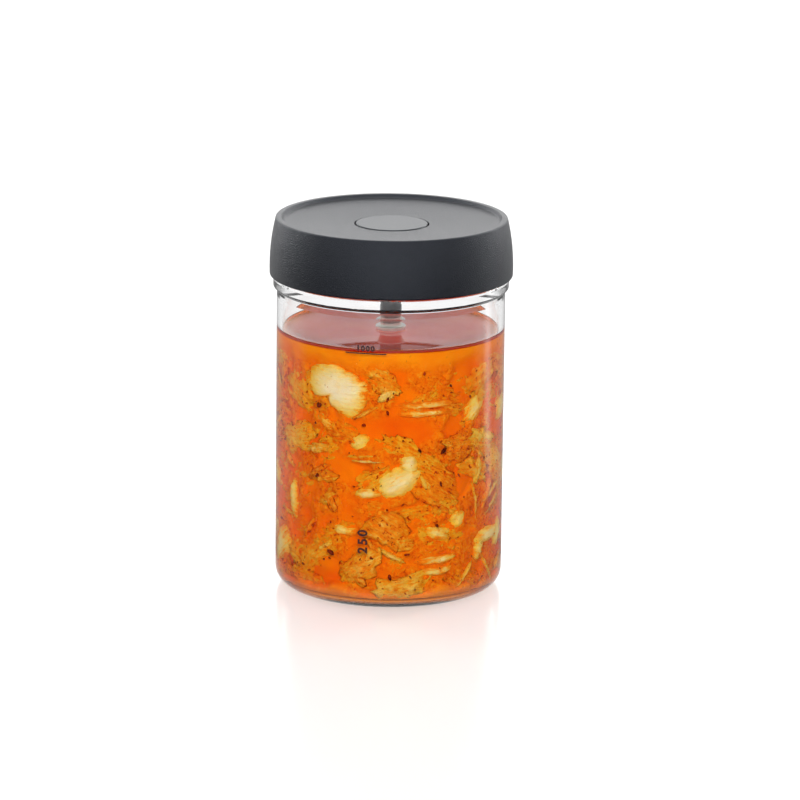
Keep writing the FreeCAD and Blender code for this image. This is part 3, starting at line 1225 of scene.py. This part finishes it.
class JAR_OT_marks(bpy.types.Operator):
    """Prints the fill line and plain numbers on the glass"""

    bl_idname = "jar.marks"
    bl_label = "Printed Marks"

    def execute(self, context):
        points, faces = [], []
        fill_line(points, faces, -12.2, 19.5 * MM, SURFACE - 0.3 * MM, 0.55 * MM)
        printed_number(points, faces, "1000", -12.3, SURFACE + 1.0 * MM, 2.5 * MM, 0)
        printed_number(points, faces, "250", -10.6, FLOOR + 29.5 * MM, 4.6 * MM, 90)
        marks = mesh_piece("fill_marks", points, faces, printing_ink(), smooth=False)
        place_piece(marks, "jar")
        return {"FINISHED"}


def on_the_glass(azimuth, height, proud):
    radius = BODY + proud
    angle = math.radians(azimuth)
    return (radius * math.sin(angle), -radius * math.cos(angle), height)


def fill_line(points, faces, azimuth, length, height, width):
    """A closed thin bar that follows the wall."""
    first, parts = len(points), 24
    for part in range(parts + 1):
        spot = azimuth + math.degrees(length / BODY) * (part / parts - 0.5)
        for up, proud in ((0, 0.01), (0, 0.05), (width, 0.05), (width, 0.01)):
            points.append(on_the_glass(spot, height + up - width / 2, proud * MM))
    for part in range(parts):
        a, b = first + 4 * part, first + 4 * part + 4
        for corner in range(4):
            after = (corner + 1) % 4
            faces.append((a + corner, b + corner, b + after, a + after))
    last = first + 4 * parts
    faces.append((first, first + 1, first + 2, first + 3))
    faces.append((last + 3, last + 2, last + 1, last))


def printed_number(points, faces, text, azimuth, height, size, turn):
    """Plain digits laid on the wall, upright or turned, from their own middle and base."""
    curve = bpy.data.curves.new(f"digits_{text}", "FONT")
    curve.body = text
    curve.size = size * 1.35
    curve.extrude = 0.03 * MM
    curve.align_x = "CENTER"
    curve.offset = 0.2 * MM
    curve.space_character = 1.35
    holder = bpy.data.objects.new(curve.name, curve)
    bpy.context.scene.collection.objects.link(holder)
    bpy.context.view_layer.update()
    mesh = bpy.data.meshes.new_from_object(holder.evaluated_get(bpy.context.evaluated_depsgraph_get()))
    first = len(points)
    angle = math.radians(turn)
    for vertex in mesh.vertices:
        x, y, out = vertex.co
        along = x * math.cos(angle) - y * math.sin(angle)
        up = x * math.sin(angle) + y * math.cos(angle)
        points.append(on_the_glass(azimuth + math.degrees(along / BODY), height + up, out + 0.08 * MM))
    faces += [tuple(first + index for index in polygon.vertices) for polygon in mesh.polygons]
    bpy.data.objects.remove(holder)
    bpy.data.curves.remove(curve)
    bpy.data.meshes.remove(mesh)


# Softboxes: name, place, size, watts
LAMPS = [
    ("key_softbox", (0.0, -2.3, 1.02), (0.9, 0.6), 41.0),
    ("top_softbox", (0.0, 0.4, 1.8), (1.4, 1.4), 8.0),
    ("back_softbox", (0.0, 2.2, 0.85), (1.8, 0.8), 6.2),
    ("left_softbox", (-1.5, 1.3, 0.7), (0.6, 0.9), 10.5),
    ("right_softbox", (1.5, 1.3, 0.7), (0.6, 0.9), 10.5),
]


class JAR_OT_stage(bpy.types.Operator):
    """Sets the floor, the white room, the lamps and the camera"""

    bl_idname = "jar.stage"
    bl_label = "Stage"

    def execute(self, context):
        scene = context.scene
        settings = scene.jar_stage
        scene.view_settings.view_transform = "Standard"
        make_floor(settings.floor_glow)
        make_world(scene, settings.world_light)
        for name, place, size, watts in LAMPS:
            lamp(name, place, size, watts)
        make_camera(scene, settings)
        return {"FINISHED"}


def make_floor(glow):
    half = 3.0
    corners = ((-half, -half), (half, -half), (half, half), (-half, half))
    points = [(x, y, CAD_BOX[0][2]) for x, y in corners]
    mesh_piece("floor", points, [(0, 1, 2, 3)], white_board(glow), smooth=False)


def make_world(scene, strength):
    """A white room, plain white where it is seen, with a dimmer ceiling in glass, and softer as light."""
    world = bpy.data.worlds.new("white_room")
    world.use_nodes = True
    tree = world.node_tree
    tree.nodes.clear()
    path = add(tree, "ShaderNodeLightPath")
    rise = add(tree, "ShaderNodeSeparateXYZ", {0: add(tree, "ShaderNodeTexCoord").outputs["Generated"]})
    ceiling = add(
        tree,
        "ShaderNodeMapRange",
        {"Value": rise.outputs["Z"], "From Min": 0.2, "From Max": 0.4, "To Min": 1.0, "To Max": 0.3},
    )
    shader = add(tree, "ShaderNodeBackground", {"Color": linear(WHITE), "Strength": strength}).outputs[0]
    white = add(tree, "ShaderNodeBackground", {"Color": linear(WHITE), "Strength": 1.0}).outputs[0]
    room = add(tree, "ShaderNodeBackground", {"Color": linear(WHITE), "Strength": ceiling.outputs[0]})
    rays = (("Is Glossy Ray", white), ("Is Transmission Ray", room.outputs[0]), ("Is Camera Ray", white))
    for ray, seen in rays:
        shader = add(tree, "ShaderNodeMixShader", {0: path.outputs[ray], 1: shader, 2: seen}).outputs[0]
    add(tree, "ShaderNodeOutputWorld", {"Surface": shader})
    scene.world = world


def lamp(name, place, size, watts):
    """A softbox that looks at the middle of the jar, and is seen only in gloss.

    The key is left out of gloss too, because it would turn the lid's top white from behind.
    """
    light = bpy.data.lights.new(name, "AREA")
    light.shape = "RECTANGLE"
    light.size, light.size_y = size
    light.energy = watts
    holder = bpy.data.objects.new(name, light)
    holder.location = place
    holder.visible_camera = holder.visible_transmission = False
    holder.visible_glossy = name != "key_softbox"
    aim = Vector((0, 0, 0.09)) - Vector(place)
    holder.rotation_euler = aim.to_track_quat("-Z", "Y").to_euler()
    bpy.context.scene.collection.objects.link(holder)


def make_camera(scene, settings):
    aim = Vector((0.0048, 0.0, 0.0888))
    place = Vector((aim.x, -settings.distance, settings.camera_height))
    data = bpy.data.cameras.new("view")
    data.lens = settings.lens
    data.sensor_width = 36.0
    data.clip_end = 20.0
    camera = bpy.data.objects.new("view", data)
    turn = (aim - place).to_track_quat("-Z", "Y").to_matrix()
    camera.matrix_world = Matrix.Translation(place) @ (turn @ Matrix.Rotation(settings.roll, 3, "Z")).to_4x4()
    scene.collection.objects.link(camera)
    scene.camera = camera


# ---------------------------------------------------------------- panel and registration


OPERATORS = (
    JAR_OT_glass,
    JAR_OT_lid,
    JAR_OT_brine,
    JAR_OT_haze,
    JAR_OT_cabbage,
    JAR_OT_chilli,
    JAR_OT_bubbles,
    JAR_OT_marks,
    JAR_OT_stage,
)


class JAR_PT_sidebar(bpy.types.Panel):
    """Lists the pieces and their sizes and colours"""

    bl_idname = "JAR_PT_sidebar"
    bl_label = "Fermentation Jar"
    bl_space_type = "VIEW_3D"
    bl_region_type = "UI"
    bl_category = "Jar"

    def draw(self, context):
        for group in GROUPS:
            box = self.layout.box()
            settings = getattr(context.scene, group)
            for name in settings.__annotations__:
                box.prop(settings, name)
        for operator in OPERATORS:
            self.layout.operator(operator.bl_idname)


GROUPS = {
    "jar_brine": JarBrineSettings,
    "jar_kimchi": JarKimchiSettings,
    "jar_lid": JarLidSettings,
    "jar_stage": JarStageSettings,
}


def register():
    for group, settings in GROUPS.items():
        bpy.utils.register_class(settings)
        setattr(bpy.types.Scene, group, PointerProperty(type=settings))
    for item in (*OPERATORS, JAR_PT_sidebar):
        bpy.utils.register_class(item)


def unregister():
    for item in reversed((*OPERATORS, JAR_PT_sidebar)):
        bpy.utils.unregister_class(item)
    for group, settings in GROUPS.items():
        delattr(bpy.types.Scene, group)
        bpy.utils.unregister_class(settings)


def main():
    register()
    bpy.ops.jar.glass()
    bpy.ops.jar.lid()
    bpy.ops.jar.brine()
    bpy.ops.jar.haze()
    bpy.ops.jar.cabbage()
    bpy.ops.jar.chilli()
    bpy.ops.jar.bubbles()
    bpy.ops.jar.marks()
    bpy.ops.jar.stage()


if __name__ == "__main__":
    main()
